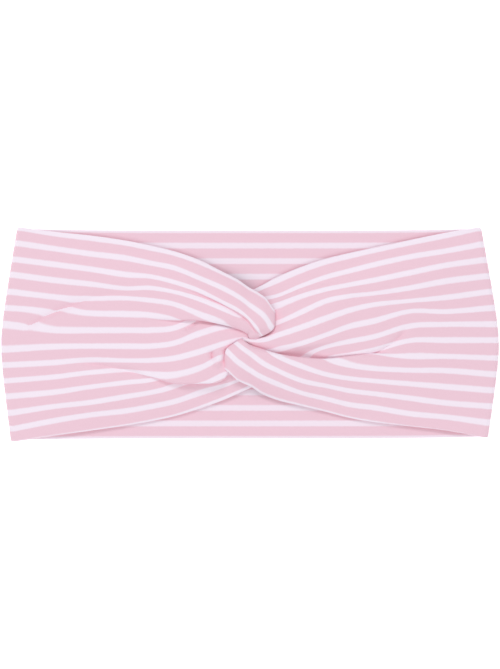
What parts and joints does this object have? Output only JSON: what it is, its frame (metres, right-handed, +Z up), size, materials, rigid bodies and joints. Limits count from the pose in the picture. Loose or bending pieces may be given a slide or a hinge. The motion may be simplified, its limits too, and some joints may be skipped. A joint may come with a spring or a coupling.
{
  "type": "sports headband",
  "caption": "Wide stretch-jersey headband with lengthwise stripes and a twisted knot at the front, lying flat on its back band.",
  "frame": {"origin": "under the middle of the headband, on the surface that the back band lies on", "axes": "+X along the headband, to the right as seen from the front, +Y towards its top edge, +Z up through the knot"},
  "size_m": [0.25, 0.1061, 0.0152],
  "materials": {
    "striped_jersey": "soft matt jersey, pink with narrow white stripes along its length",
    "striped_lining": "the same striped jersey, used as the lining",
    "seam_thread": "matt overlock thread on the seam allowance"
  },
  "bodies": {
    "root": {"left_wing_outer": "striped_jersey", "left_wing_lining": "striped_lining", "left_wing_bottom_seam": "seam_thread", "left_wing_top_seam": "seam_thread", "right_wing_outer": "striped_jersey", "right_wing_lining": "striped_lining", "right_wing_top_seam": "seam_thread", "right_wing_bottom_seam": "seam_thread", "back_band_outer": "striped_jersey", "back_band_lining": "striped_lining", "back_band_bottom_seam": "seam_thread", "back_band_top_seam": "seam_thread", "left_side_seam": "seam_thread", "right_side_seam": "seam_thread", "knot_seam": "seam_thread"}
  },
  "joints": []
}
